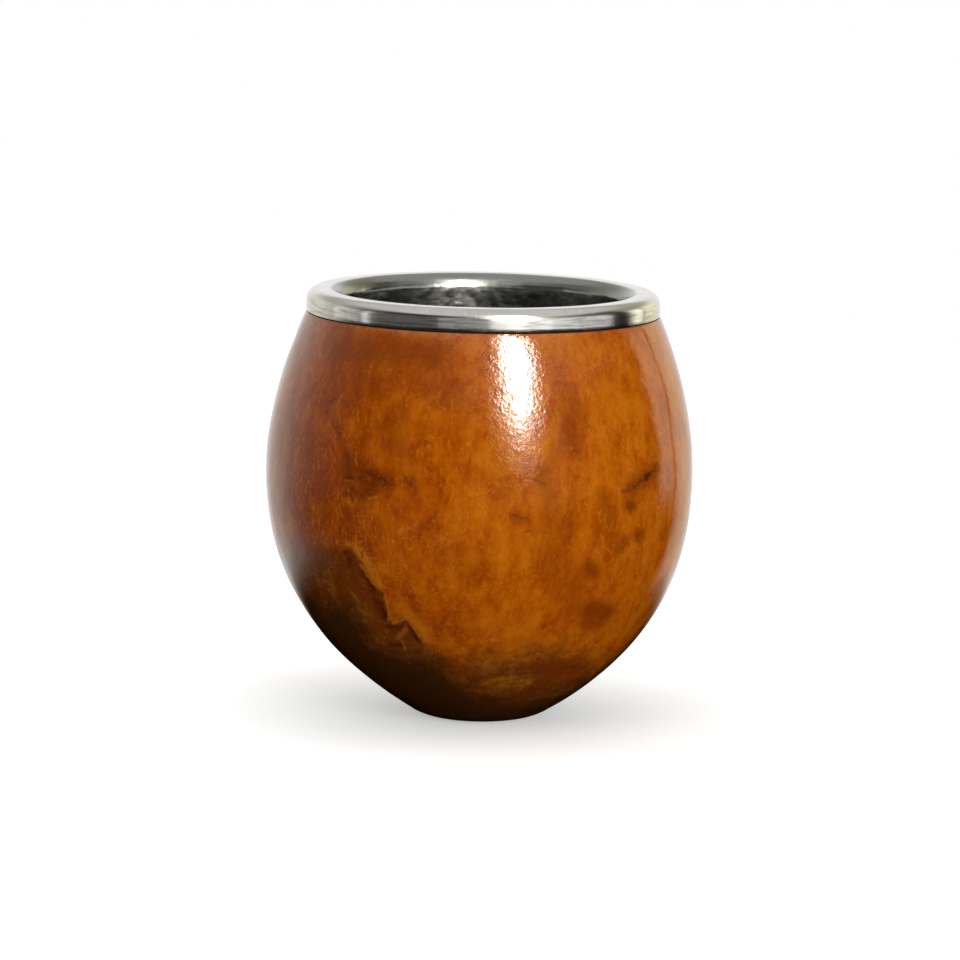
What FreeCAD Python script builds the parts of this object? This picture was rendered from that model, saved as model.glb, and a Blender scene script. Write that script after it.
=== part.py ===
"""Mate cup: a natural calabash shell with a spun steel ferrule round its mouth.

Millimetres, +Z up. The origin is on the axis of the mouth, on the plane of the sanded base.
Two pieces: the gourd shell, and the ferrule that is let into its mouth and glued.
"""
import FreeCAD, Part
import math
import os

# Overall form of the gourd
TOTAL_HEIGHT = 88.5
BASE_FLAT_RADIUS = 11.5
BELLY_RADIUS = 44.0
BELLY_HEIGHT = 51.0

# How the outline leaves the base, swells to the belly and closes in to the mouth
BASE_ANGLE = 30.0
MOUTH_LEAN = 24.5
BASE_PULL = 0.375
BELLY_PULL_DOWN = 0.54
BELLY_PULL_UP = 0.38
MOUTH_PULL = 0.27

# Natural unevenness of the fruit
BASE_DRIFT_X = 0.6
BASE_DRIFT_Y = 0.4
BELLY_DRIFT_X = -0.3
BELLY_DRIFT_Y = 0.2
OVALITY = 0.012
LOBING = 0.004
LOBES = 3
LOBE_TURN = 40.0

# Scraped-out hollow
BELLY_WALL = 6.0
FLOOR_THICKNESS = 7.5
FLOOR_RADIUS = 9.5
CAVITY_LEAN = 40.0

# Ferrule, spun from sheet
SHEET = 0.8
MOUTH_BORE_RADIUS = 29.3
RIM_WIDTH = 7.0
LIP_HEIGHT = 4.6
FUNNEL_RADIUS = 2.6
SHOULDER_RADIUS = 2.3
EDGE_ROUND = 0.5
FERRULE_DEPTH = 15.0

# How the ferrule fits the gourd
GLUE_GAP = 0.15
SEAM_GAP = 0.3
BORE_RUN_OUT = 1.2
HOLLOW_LEDGE = 1.2
CORNER_EASE = 0.3
SKIN_EDGE_ROUND = 0.4

# How finely the gourd's sections are taken
SECTION_POINTS = 24
LOWER_SECTIONS = 6
UPPER_SECTIONS = 4

# Heights and radii that follow from the sizes above
BAND_RADIUS = MOUTH_BORE_RADIUS + RIM_WIDTH
SEAM_HEIGHT = TOTAL_HEIGHT - LIP_HEIGHT
SKIN_TOP = SEAM_HEIGHT - SEAM_GAP / 2
BAND_BOTTOM = SEAM_HEIGHT + SEAM_GAP / 2
LIP_UNDERSIDE = TOTAL_HEIGHT - SHEET
SLEEVE_BOTTOM = TOTAL_HEIGHT - FERRULE_DEPTH
GOURD_BORE_RADIUS = MOUTH_BORE_RADIUS + SHEET + GLUE_GAP
GOURD_BORE_BOTTOM = SLEEVE_BOTTOM - BORE_RUN_OUT
NECK_RADIUS = BAND_RADIUS - SHEET - GLUE_GAP


def vector(x, y, z):
    return FreeCAD.Vector(x, y, z)


def polar(centre, radius, degrees):
    """Point on a circle in the XZ half plane, given as (distance from the axis, height)."""
    angle = math.radians(degrees)
    return (centre[0] + radius * math.cos(angle), centre[1] + radius * math.sin(angle))


def flat_point(point):
    return vector(point[0], 0, point[1])


def line(start, end):
    return Part.LineSegment(flat_point(start), flat_point(end)).toShape()


def corner(centre, radius, start, end):
    """Round corner from one angle to another about its centre."""
    middle = (start + end) / 2
    points = [flat_point(polar(centre, radius, angle)) for angle in (start, middle, end)]
    return Part.Arc(*points).toShape()


def turned(edges):
    """Solid of revolution about the mouth's axis from the edges of a closed half section."""
    face = Part.Face(Part.Wire(edges))
    return face.revolve(vector(0, 0, 0), vector(0, 0, 1), 360)


def bezier(points):
    curve = Part.BezierCurve()
    curve.setPoles([flat_point(point) for point in points])
    return curve


def outline(foot_radius, foot_height, belly_radius, top_radius, top_height, lean):
    """Half outline of a gourd as points (radius, height), from its foot over the belly to its top.

    Two curves meet upright at the belly. Each pull is the length of a tangent there or at the
    end of the curve, as a share of the height that the curve climbs.
    """
    climb = BELLY_HEIGHT - foot_height
    rise = top_height - BELLY_HEIGHT
    foot = (foot_radius, foot_height)
    belly = (belly_radius, BELLY_HEIGHT)
    top = (top_radius, top_height)
    lower = bezier([
        foot,
        polar(foot, BASE_PULL * climb, BASE_ANGLE),
        (belly_radius, BELLY_HEIGHT - BELLY_PULL_DOWN * climb),
        belly,
    ])
    upper = bezier([
        belly,
        (belly_radius, BELLY_HEIGHT + BELLY_PULL_UP * rise),
        polar(top, MOUTH_PULL * rise, lean - 90),
        top,
    ])
    points = [lower.value(i / LOWER_SECTIONS) for i in range(LOWER_SECTIONS)]
    points += [upper.value(i / UPPER_SECTIONS) for i in range(UPPER_SECTIONS + 1)]
    return [(point.x, point.z) for point in points]


def drift(height):
    """How far the gourd's middle stands off the mouth's axis at a height, in x and y.

    It goes from the drift at the base to that at the belly, and dies out at the mouth.
    """
    if height < BELLY_HEIGHT:
        share = height / BELLY_HEIGHT
        ease = share * share * (3 - 2 * share)
        return (
            BASE_DRIFT_X + (BELLY_DRIFT_X - BASE_DRIFT_X) * ease,
            BASE_DRIFT_Y + (BELLY_DRIFT_Y - BASE_DRIFT_Y) * ease,
        )
    fade = unevenness(height)
    return (BELLY_DRIFT_X * fade, BELLY_DRIFT_Y * fade)


def unevenness(height):
    """1 from the base to the belly, falling smoothly to 0 where the mouth is trued up."""
    share = (height - BELLY_HEIGHT) / (SKIN_TOP - BELLY_HEIGHT)
    share = min(1.0, max(0.0, share))
    return 1 - share * share * (3 - 2 * share)


def section(radius, height):
    """Closed cross section of the fruit: a circle, a little shallower front to back and lobed."""
    centre_x, centre_y = drift(height)
    wild = unevenness(height)
    points = []
    for i in range(SECTION_POINTS):
        angle = 2 * math.pi * i / SECTION_POINTS
        lobe = math.cos(LOBES * angle + math.radians(LOBE_TURN))
        reach = radius * (1 + wild * (LOBING * lobe - OVALITY * math.sin(angle) ** 2))
        x = centre_x + reach * math.cos(angle)
        y = centre_y + reach * math.sin(angle)
        points.append(vector(x, y, height))
    curve = Part.BSplineCurve()
    curve.interpolate(Points=points, PeriodicFlag=True)
    return Part.Wire(curve.toShape())


def grown(points):
    """Smooth solid through the cross sections at the points of an outline."""
    return Part.makeLoft([section(radius, height) for radius, height in points], True)


def neck():
    """Collar that is cut on the gourd's rim to fill the ferrule's hollow lip, as a full plug.

    Its corner under the lip's shoulder is eased a little more than the sheet bends there.
    """
    ease = SHOULDER_RADIUS - SHEET + CORNER_EASE
    root = SKIN_TOP - LIP_HEIGHT / 2
    centre = (NECK_RADIUS - ease, LIP_UNDERSIDE - ease)
    return turned([
        line((0, root), (NECK_RADIUS, root)),
        line((NECK_RADIUS, root), (NECK_RADIUS, centre[1])),
        corner(centre, ease, 0, 90),
        line((centre[0], LIP_UNDERSIDE), (0, LIP_UNDERSIDE)),
        line((0, LIP_UNDERSIDE), (0, root)),
    ])


def mouth_bore():
    """Tool that bores the mouth for the ferrule's sleeve and eases the rim's inner corner."""
    ease = FUNNEL_RADIUS - SHEET + CORNER_EASE
    top = TOTAL_HEIGHT + LIP_HEIGHT
    centre = (GOURD_BORE_RADIUS + ease, LIP_UNDERSIDE - ease)
    return turned([
        line((0, GOURD_BORE_BOTTOM), (GOURD_BORE_RADIUS, GOURD_BORE_BOTTOM)),
        line((GOURD_BORE_RADIUS, GOURD_BORE_BOTTOM), (GOURD_BORE_RADIUS, centre[1])),
        corner(centre, ease, 180, 90),
        line((centre[0], LIP_UNDERSIDE), (centre[0], top)),
        line((centre[0], top), (0, top)),
        line((0, top), (0, GOURD_BORE_BOTTOM)),
    ])


def hollow():
    """The scraped-out inside, which runs up a little way into the bored mouth.

    It opens into the bore inside a narrow ledge that the boring tool left.
    """
    points = outline(
        FLOOR_RADIUS,
        FLOOR_THICKNESS,
        BELLY_RADIUS - BELLY_WALL,
        GOURD_BORE_RADIUS - HOLLOW_LEDGE,
        SLEEVE_BOTTOM,
        CAVITY_LEAN,
    )
    return grown(points)


def skin():
    """The gourd's outer form, solid, up to the seam with the ferrule."""
    points = outline(BASE_FLAT_RADIUS, 0, BELLY_RADIUS, BAND_RADIUS, SKIN_TOP, MOUTH_LEAN)
    return grown(points)


def gourd_shell():
    """Calabash shell: sanded base, swelling belly, trued rim with its collar, bored mouth, hollow."""
    body = skin()
    rim = [
        edge for edge in body.Edges
        if abs(edge.BoundBox.ZMin - SKIN_TOP) < SKIN_EDGE_ROUND / 4
    ]
    body = body.makeFillet(SKIN_EDGE_ROUND, rim)
    body = body.fuse(neck())
    return body.cut(hollow().fuse(mouth_bore()))


def ferrule():
    """Steel ferrule of one thickness: sleeve, flared throat, flat crown, round shoulder and band."""
    sleeve_outside = MOUTH_BORE_RADIUS + SHEET
    band_inside = BAND_RADIUS - SHEET
    throat = (MOUTH_BORE_RADIUS + FUNNEL_RADIUS, TOTAL_HEIGHT - FUNNEL_RADIUS)
    shoulder = (BAND_RADIUS - SHOULDER_RADIUS, TOTAL_HEIGHT - SHOULDER_RADIUS)
    edge = (BAND_RADIUS - EDGE_ROUND, BAND_BOTTOM + EDGE_ROUND)
    return turned([
        line((MOUTH_BORE_RADIUS, SLEEVE_BOTTOM), (MOUTH_BORE_RADIUS, throat[1])),
        corner(throat, FUNNEL_RADIUS, 180, 90),
        line((throat[0], TOTAL_HEIGHT), (shoulder[0], TOTAL_HEIGHT)),
        corner(shoulder, SHOULDER_RADIUS, 90, 0),
        line((BAND_RADIUS, shoulder[1]), (BAND_RADIUS, edge[1])),
        corner(edge, EDGE_ROUND, 0, -90),
        line((edge[0], BAND_BOTTOM), (band_inside, BAND_BOTTOM)),
        line((band_inside, BAND_BOTTOM), (band_inside, shoulder[1])),
        corner(shoulder, SHOULDER_RADIUS - SHEET, 0, 90),
        line((shoulder[0], LIP_UNDERSIDE), (throat[0], LIP_UNDERSIDE)),
        corner(throat, FUNNEL_RADIUS - SHEET, 90, 180),
        line((sleeve_outside, throat[1]), (sleeve_outside, SLEEVE_BOTTOM)),
        line((sleeve_outside, SLEEVE_BOTTOM), (MOUTH_BORE_RADIUS, SLEEVE_BOTTOM)),
    ])


os.makedirs("parts", exist_ok=True)
gourd_shell().exportStep("parts/gourd_shell.step")
ferrule().exportStep("parts/ferrule.step")
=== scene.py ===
"""Looks of a mate cup: a varnished calabash gourd with a polished steel ferrule round its mouth.

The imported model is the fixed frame. Sizes are in millimetres here and become metres in the meshes.
Azimuths are in degrees round the mouth's axis: 0 faces the camera, and positive is to its right.
"""
import logging
import math
from collections.abc import Sequence
from dataclasses import dataclass, field
from enum import Enum

import bpy
import numpy as np
from mathutils import Matrix, Vector


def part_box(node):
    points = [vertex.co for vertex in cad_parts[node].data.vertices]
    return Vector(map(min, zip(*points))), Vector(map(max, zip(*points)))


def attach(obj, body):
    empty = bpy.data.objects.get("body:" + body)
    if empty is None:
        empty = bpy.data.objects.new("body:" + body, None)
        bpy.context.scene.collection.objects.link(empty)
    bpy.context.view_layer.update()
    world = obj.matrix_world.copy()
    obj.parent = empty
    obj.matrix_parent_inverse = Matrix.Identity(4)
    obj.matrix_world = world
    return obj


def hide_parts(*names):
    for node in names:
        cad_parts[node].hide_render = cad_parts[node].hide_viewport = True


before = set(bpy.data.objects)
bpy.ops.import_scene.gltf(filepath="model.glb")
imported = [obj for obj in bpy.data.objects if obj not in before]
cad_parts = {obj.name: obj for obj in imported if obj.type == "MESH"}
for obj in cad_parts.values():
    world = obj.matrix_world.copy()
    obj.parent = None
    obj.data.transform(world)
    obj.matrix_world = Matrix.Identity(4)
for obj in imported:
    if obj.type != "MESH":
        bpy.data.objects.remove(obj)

LOG = logging.getLogger("mate_cup")
MM = 0.001
CREASE = 35.0
WALL_MARGIN = 2.5
TRIFLE = 0.05
Point = tuple[float, float]
Colour = tuple[float, float, float]


class Slot(Enum):
    """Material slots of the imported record."""

    GOURD = "gourd"
    STEEL = "steel"


class Zone(Enum):
    """Parts of the gourd that have a finish of their own."""

    SKIN = 0
    CUT = 1
    HOLLOW = 2


# Modelling


def deselect() -> None:
    """Leaves edit mode and deselects every object."""
    if bpy.context.object is not None and bpy.context.object.mode != "OBJECT":
        bpy.ops.object.mode_set(mode="OBJECT")
    bpy.ops.object.select_all(action="DESELECT")


def take(piece: bpy.types.Object) -> None:
    """Selects one piece alone and makes it the active one."""
    deselect()
    piece.select_set(True)
    bpy.context.view_layer.objects.active = piece


def spun(name: str, profile: Sequence[Point], steps: int) -> bpy.types.Object:
    """Spins a half section about the mouth's axis: an eighth of a turn, then doubled three times.

    Args:
        name: name of the new piece.
        profile: points of the half section, as distance from the axis and height.
        steps: faces round the axis, a multiple of 8.

    Returns:
        The closed piece, with its poles and its seam merged and its faces outward.
    """
    deselect()
    bpy.ops.mesh.primitive_plane_add(size=MM)
    piece = bpy.context.object
    piece.name = piece.data.name = name
    bpy.ops.object.mode_set(mode="EDIT")
    bpy.ops.mesh.select_mode(type="VERT")
    bpy.ops.mesh.select_all(action="SELECT")
    bpy.ops.mesh.merge(type="CENTER")
    bpy.ops.transform.translate(value=(profile[0][0] * MM, 0.0, profile[0][1] * MM))
    for start, end in zip(profile, profile[1:]):
        step = ((end[0] - start[0]) * MM, 0.0, (end[1] - start[1]) * MM)
        bpy.ops.mesh.extrude_vertices_move(TRANSFORM_OT_translate={"value": step})
    bpy.ops.mesh.select_all(action="SELECT")
    bpy.ops.mesh.spin(
        steps=steps // 8, angle=math.pi / 4, center=(0, 0, 0), axis=(0, 0, 1), use_auto_merge=False
    )
    for turn in (45, 90, 180):
        bpy.ops.mesh.select_all(action="SELECT")
        bpy.ops.mesh.duplicate()
        bpy.ops.transform.rotate(
            value=math.radians(turn),
            orient_axis="Z",
            orient_type="GLOBAL",
            center_override=(0, 0, 0),
        )
    bpy.ops.mesh.select_all(action="SELECT")
    bpy.ops.mesh.remove_doubles(threshold=MM / 1000)
    bpy.ops.mesh.normals_make_consistent(inside=False)
    bpy.ops.object.mode_set(mode="OBJECT")
    return piece


def corners(piece: bpy.types.Object) -> np.ndarray:
    """The piece's vertices in millimetres, one row each."""
    flat = np.empty(len(piece.data.vertices) * 3, np.float32)
    piece.data.vertices.foreach_get("co", flat)
    return flat.reshape(-1, 3).astype(float) / MM


def move_corners(piece: bpy.types.Object, places: np.ndarray) -> None:
    """Puts the piece's vertices at new places, given in millimetres."""
    piece.data.vertices.foreach_set("co", (places * MM).astype(np.float32).ravel())
    piece.data.update()


def weigh(piece: bpy.types.Object, name: str, weights: np.ndarray) -> None:
    """Makes a vertex group from a weight for each vertex, without those that weigh nothing."""
    group = piece.vertex_groups.new(name=name)
    for index in np.nonzero(weights > 0.002)[0].tolist():
        group.add([index], float(min(1.0, weights[index])), "REPLACE")


def emboss(
    piece: bpy.types.Object,
    group: str,
    height: float,
    grain: float = 0.0,
    depth: int = 2,
    middle: float = 0.5,
) -> None:
    """Raises or sinks a vertex group along its normals, and applies the result.

    Args:
        piece: the piece to work on.
        group: the vertex group that says where and how much.
        height: how far the surface moves, in millimetres.
        grain: size of the lumps in millimetres, or 0 for an even push.
        depth: how many finer layers the lumps have.
        middle: which level of the lumps stays where it is.
    """
    take(piece)
    push = piece.modifiers.new(group, "DISPLACE")
    push.vertex_group = group
    push.strength = height * MM
    push.mid_level = middle if grain else 0.0
    if grain:
        cloud = bpy.data.textures.new(f"{piece.name}_{group}", "CLOUDS")
        cloud.noise_scale = grain * MM
        cloud.noise_depth = depth
        cloud.noise_basis = "IMPROVED_PERLIN"
        push.texture = cloud
        push.texture_coords = "LOCAL"
    bpy.ops.object.modifier_apply(modifier=push.name)


def give_faces(piece: bpy.types.Object, slot: int, wanted: np.ndarray) -> None:
    """Gives a material slot to the faces that a mask names.

    Args:
        piece: the piece, which has its material slots already.
        slot: index of the material slot.
        wanted: true for each face that is meant.
    """
    take(piece)
    bpy.ops.object.mode_set(mode="EDIT")
    bpy.ops.mesh.select_mode(type="FACE")
    bpy.ops.mesh.select_all(action="DESELECT")
    bpy.ops.object.mode_set(mode="OBJECT")
    piece.data.polygons.foreach_set("select", wanted)
    piece.active_material_index = slot
    bpy.ops.object.mode_set(mode="EDIT")
    bpy.ops.object.material_slot_assign()
    bpy.ops.object.mode_set(mode="OBJECT")


def middles(piece: bpy.types.Object) -> np.ndarray:
    """The middles of the piece's faces in millimetres, one row each."""
    flat = np.empty(len(piece.data.polygons) * 3, np.float32)
    piece.data.polygons.foreach_get("center", flat)
    return flat.reshape(-1, 3).astype(float) / MM


def keep_values(piece: bpy.types.Object, name: str, values: np.ndarray) -> None:
    """Keeps one number for each vertex in the mesh, for the piece's material to read."""
    made = piece.data.attributes.new(name, "FLOAT", "POINT")
    made.data.foreach_set("value", values.astype(np.float32))


def keep_inside(piece: bpy.types.Object, box: tuple[Vector, Vector]) -> None:
    """Moves what lies outside a box in metres back to its faces."""
    low, high = (np.array(corner) / MM for corner in box)
    move_corners(piece, np.clip(corners(piece), low, high))


def azimuths(places: np.ndarray) -> np.ndarray:
    """Azimuth of each place in degrees."""
    return np.degrees(np.arctan2(places[:, 0], -places[:, 1]))


def smoothstep(values: np.ndarray, low: float, high: float) -> np.ndarray:
    """Smooth step of values from 0 at a low end to 1 at a high end."""
    share = np.clip((values - low) / (high - low), 0.0, 1.0)
    return share * share * (3 - 2 * share)


def smooth(piece: bpy.types.Object, degrees: float) -> None:
    """Shades the piece smooth, except across edges sharper than an angle."""
    take(piece)
    bpy.ops.object.shade_smooth_by_angle(angle=math.radians(degrees))


# Curves of the half sections


def pulled(start: Point, degrees: float, length: float) -> Point:
    """The point that lies at an angle and a distance from another."""
    angle = math.radians(degrees)
    return (start[0] + length * math.cos(angle), start[1] + length * math.sin(angle))


def bezier(poles: Sequence[Point], count: int = 200) -> list[Point]:
    """Points along a cubic curve, evenly in its parameter."""
    made = []
    for i in range(count + 1):
        t = i / count
        shares = ((1 - t) ** 3, 3 * (1 - t) ** 2 * t, 3 * (1 - t) * t * t, t**3)
        made.append(tuple(sum(s * p[axis] for s, p in zip(shares, poles)) for axis in (0, 1)))
    return made


def spaced(points: Sequence[Point], step: float) -> list[Point]:
    """The same line with its points a step apart, its two ends kept."""
    line = np.array(points, float)
    along = np.concatenate([[0.0], np.cumsum(np.hypot(*np.diff(line, axis=0).T))])
    marks = np.linspace(0.0, along[-1], max(1, round(along[-1] / step)) + 1)
    return list(zip(np.interp(marks, along, line[:, 0]), np.interp(marks, along, line[:, 1])))


def bend(centre: Point, radius: float, start: float, end: float, count: int) -> list[Point]:
    """Points of a round corner from one angle to another, in degrees, both ends among them."""
    return [pulled(centre, start + (end - start) * i / count, radius) for i in range(count + 1)]


def chained(*runs: Sequence[Point]) -> list[Point]:
    """One line through several runs of points, without the points that would repeat."""
    line: list[Point] = []
    for point in (point for run in runs for point in run):
        if not line or math.dist(line[-1], point) > 1e-4:
            line.append((float(point[0]), float(point[1])))
    return line


@dataclass(frozen=True)
class Outline:
    """Half outline of a gourd: two curves that meet upright at the belly.

    Each pull is a tangent's length, as a share of the height that its curve climbs.
    """

    foot: Point
    belly: Point
    top: Point
    lean: float
    base_angle: float = 30.0
    base_pull: float = 0.375
    belly_pull_down: float = 0.54
    belly_pull_up: float = 0.38
    mouth_pull: float = 0.27

    def points(self, step: float) -> list[Point]:
        """Points from the foot over the belly to the top, a step apart."""
        foot, belly, top = self.foot, self.belly, self.top
        climb, rise = belly[1] - foot[1], top[1] - belly[1]
        leave = pulled(foot, self.base_angle, self.base_pull * climb)
        arrive = pulled(top, self.lean - 90, self.mouth_pull * rise)
        below = (belly[0], belly[1] - self.belly_pull_down * climb)
        above = (belly[0], belly[1] + self.belly_pull_up * rise)
        lower = bezier([foot, leave, below, belly])
        return spaced(lower + bezier([belly, above, arrive, top])[1:], step)


@dataclass(frozen=True)
class Growth:
    """How the fruit departs from a turned shape, and how that dies out at the trued mouth."""

    belly_height: float
    skin_top: float
    base_drift: Point = (0.6, 0.4)
    belly_drift: Point = (-0.3, 0.2)
    ovality: float = 0.012
    lobing: float = 0.004
    lobes: int = 3
    lobe_turn: float = 40.0

    def moved(self, places: np.ndarray) -> np.ndarray:
        """Points of a turned shape, taken to where the grown shape has them.

        Args:
            places: rows of x, y and z.

        Returns:
            The same rows with x and y moved.
        """
        x, y, height = places.T
        wild = 1 - smoothstep(height, self.belly_height, self.skin_top)
        ease = smoothstep(height, 0.0, self.belly_height)
        below = height < self.belly_height
        drift = [
            np.where(below, low + (high - low) * ease, high * wild)
            for low, high in zip(self.base_drift, self.belly_drift)
        ]
        angle = np.arctan2(y, x)
        lobe = np.cos(self.lobes * angle + math.radians(self.lobe_turn))
        reach = 1 + wild * (self.lobing * lobe - self.ovality * np.sin(angle) ** 2)
        return np.stack([drift[0] + x * reach, drift[1] + y * reach, height], axis=1)


# Nodes


class Signal:
    """What a node puts out. Signs between numbers place Math nodes."""

    def __init__(self, graph: "Graph", socket: bpy.types.NodeSocket) -> None:
        """Keeps the output, and the graph that further nodes go into."""
        self.graph = graph
        self.socket = socket

    def __add__(self, other: object) -> "Signal":
        """This number plus another."""
        return self.graph.sum("ADD", self, other)

    def __sub__(self, other: object) -> "Signal":
        """This number less another."""
        return self.graph.sum("SUBTRACT", self, other)

    def __rsub__(self, other: object) -> "Signal":
        """Another number less this one."""
        return self.graph.sum("SUBTRACT", other, self)

    def __mul__(self, other: object) -> "Signal":
        """This number times another."""
        return self.graph.sum("MULTIPLY", self, other)

    def __truediv__(self, other: object) -> "Signal":
        """This number divided by another."""
        return self.graph.sum("DIVIDE", self, other)

    def __rtruediv__(self, other: object) -> "Signal":
        """Another number divided by this one."""
        return self.graph.sum("DIVIDE", other, self)

    def __abs__(self) -> "Signal":
        """This number without its sign."""
        return self.graph.sum("ABSOLUTE", self)

    def clamped(self) -> "Signal":
        """This number kept between 0 and 1."""
        return self.graph.out("ShaderNodeClamp", 0, {"Value": self})

    def step(self, low: object, high: object, least: float = 0.0, most: float = 1.0) -> "Signal":
        """Smooth step of this number: the least at a low end, the most at a high one."""
        ends = {"From Min": low, "From Max": high, "To Min": least, "To Max": most}
        way = {"interpolation_type": "SMOOTHSTEP"}
        return self.graph.out("ShaderNodeMapRange", "Result", {"Value": self, **ends}, **way)


class Graph:
    """Places and joins the nodes of one material, world or node group."""

    def __init__(self, tree: bpy.types.NodeTree) -> None:
        """Starts with an empty tree."""
        self.tree = tree
        tree.nodes.clear()

    def node(self, kind: str, inputs: dict | None = None, **settings: object) -> bpy.types.Node:
        """Adds a node.

        Args:
            kind: the node's type.
            inputs: what goes into its sockets, by name or index: a plain value or an output.
            settings: the node's own properties.

        Returns:
            The new node.
        """
        made = self.tree.nodes.new(kind)
        for name, value in settings.items():
            setattr(made, name, value)
        for name, value in (inputs or {}).items():
            value = value.socket if isinstance(value, Signal) else value
            if isinstance(value, bpy.types.NodeSocket):
                self.tree.links.new(value, made.inputs[name])
            else:
                made.inputs[name].default_value = value
        return made

    def out(self, kind: str, output: str | int, *inputs: dict, **settings: object) -> Signal:
        """Adds a node as `node` does, and hands on one of its outputs."""
        return Signal(self, self.node(kind, *inputs, **settings).outputs[output])

    def sum(self, operation: str, *values: object) -> Signal:
        """Result of a Math node."""
        return self.out("ShaderNodeMath", 0, dict(enumerate(values)), operation=operation)

    def vector(self, operation: str, *values: object) -> Signal:
        """Vector that a Vector Math node makes of others."""
        return self.out("ShaderNodeVectorMath", 0, dict(enumerate(values)), operation=operation)

    def measure(self, operation: str, *values: object) -> Signal:
        """Number that a Vector Math node makes of vectors."""
        inputs = dict(enumerate(values))
        return self.out("ShaderNodeVectorMath", "Value", inputs, operation=operation)

    def scaled(self, vector: object, factor: object) -> Signal:
        """A vector times a number."""
        inputs = {0: vector, "Scale": factor}
        return self.out("ShaderNodeVectorMath", 0, inputs, operation="SCALE")

    def split(self, vector: object) -> list[Signal]:
        """The three numbers of a vector."""
        made = self.node("ShaderNodeSeparateXYZ", {"Vector": vector})
        return [Signal(self, socket) for socket in made.outputs]

    def joined(self, x: object = 0.0, y: object = 0.0, z: object = 0.0) -> Signal:
        """A vector of three numbers."""
        return self.out("ShaderNodeCombineXYZ", 0, {0: x, 1: y, 2: z})

    def turn(self, x: Signal, y: Signal) -> Signal:
        """Azimuth of a direction as a share of a turn: 0 at the back, 0.5 in front."""
        return self.sum("ARCTAN2", x, y * -1.0) / (2 * math.pi) + 0.5

    def blend(self, share: object, first: object, second: object, way: str = "MIX") -> Signal:
        """Mixes two colours, given as colours or outputs."""
        ends = [(*end, 1.0) if isinstance(end, tuple) else end for end in (first, second)]
        inputs = {0: share, 6: ends[0], 7: ends[1]}
        return self.out("ShaderNodeMix", 2, inputs, data_type="RGBA", blend_type=way)

    def noise(
        self, point: object, size: float, detail: float, rough: float, output: str = "Fac"
    ) -> Signal:
        """Cloudy noise whose largest clouds are about a size in millimetres."""
        inputs = {"Vector": point, "Scale": 1.0 / size, "Detail": detail, "Roughness": rough}
        return self.out("ShaderNodeTexNoise", output, inputs)

    def warped(self, point: object, size: float, reach: float) -> Signal:
        """The point pushed about by noise of a size, by up to about half a reach."""
        cloud = self.noise(point, size, 3.0, 0.6, "Color")
        push = self.vector("SUBTRACT", cloud, (0.5, 0.5, 0.5))
        return self.vector("ADD", point, self.scaled(push, reach))

    def ramp(self, value: object, stops: Sequence[tuple[float, Colour]]) -> Signal:
        """Colour of a value along stops from 0 to 1."""
        made = self.node("ShaderNodeValToRGB", {"Fac": value})
        band = made.color_ramp
        while len(band.elements) > 1:
            band.elements.remove(band.elements[0])
        for i, (place, colour) in enumerate(stops):
            stop = band.elements[0] if i == 0 else band.elements.new(place)
            stop.position = place
            stop.color = (*colour, 1.0)
        return Signal(self, made.outputs["Color"])

    def curve(self, value: object, points: Sequence[Point]) -> Signal:
        """Height of a free curve through points whose x and y go from 0 to 1."""
        made = self.node("ShaderNodeFloatCurve", {"Value": value})
        line = made.mapping.curves[0].points
        while len(line) < len(points):
            line.new(0.5, 0.5)
        for knot, (x, y) in zip(line, sorted(points)):
            knot.location = (x, y)
        made.mapping.update()
        return Signal(self, made.outputs[0])

    def kept(self, name: str) -> Signal:
        """The number that the mesh keeps under a name."""
        return self.out("ShaderNodeAttribute", "Fac", attribute_name=name)

    def millimetres(self, stretch: float = 1.0) -> Signal:
        """Object coordinates in millimetres, with what lies along Z stretched."""
        place = self.out("ShaderNodeTexCoord", "Object")
        scale = (1 / MM, 1 / MM, 1 / MM / stretch)
        return self.out("ShaderNodeMapping", 0, {"Vector": place, "Scale": scale})

    def effect(self, name: str, **inputs: object) -> Signal:
        """Places one of the shared effects with its own values."""
        return self.out("ShaderNodeGroup", 0, inputs, node_tree=EFFECTS[name])

    def coat(self, colour: Signal, rough: Signal, relief: Signal, plain: dict[str, float]) -> None:
        """Ends a material with its shader.

        Args:
            colour: the base colour.
            rough: the roughness.
            relief: height of the fine relief, in millimetres.
            plain: the shader's other sockets, by name.
        """
        inputs = {"Height": relief, "Distance": MM, "Strength": 1.0}
        normal = self.out("ShaderNodeBump", "Normal", inputs)
        inputs = {"Base Color": colour, "Roughness": rough, "Normal": normal, **plain}
        shader = self.out("ShaderNodeBsdfPrincipled", 0, inputs)
        self.node("ShaderNodeOutputMaterial", {"Surface": shader})


def new_material(name: str) -> tuple[bpy.types.Material, Graph]:
    """A new material, and the graph of its nodes."""
    made = bpy.data.materials.new(name)
    made.use_nodes = True
    return made, Graph(made.node_tree)


EFFECTS: dict[str, bpy.types.NodeTree] = {}


def new_effect(
    name: str, output: str, inputs: dict[str, object]
) -> tuple[Graph, dict[str, Signal]]:
    """Starts a node group that several materials share.

    Args:
        name: the group's name.
        output: name of the number that it puts out.
        inputs: each input's name with its default, a number or a vector.

    Returns:
        The graph inside the group, and what comes in, by name.
    """
    tree = bpy.data.node_groups.new(name, "ShaderNodeTree")
    for key, default in inputs.items():
        kind = "NodeSocketVector" if isinstance(default, tuple) else "NodeSocketFloat"
        tree.interface.new_socket(key, in_out="INPUT", socket_type=kind).default_value = default
    tree.interface.new_socket(output, in_out="OUTPUT", socket_type="NodeSocketFloat")
    graph = Graph(tree)
    EFFECTS[name] = tree
    given = graph.node("NodeGroupInput").outputs
    return graph, {key: Signal(graph, given[key]) for key in inputs}


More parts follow.
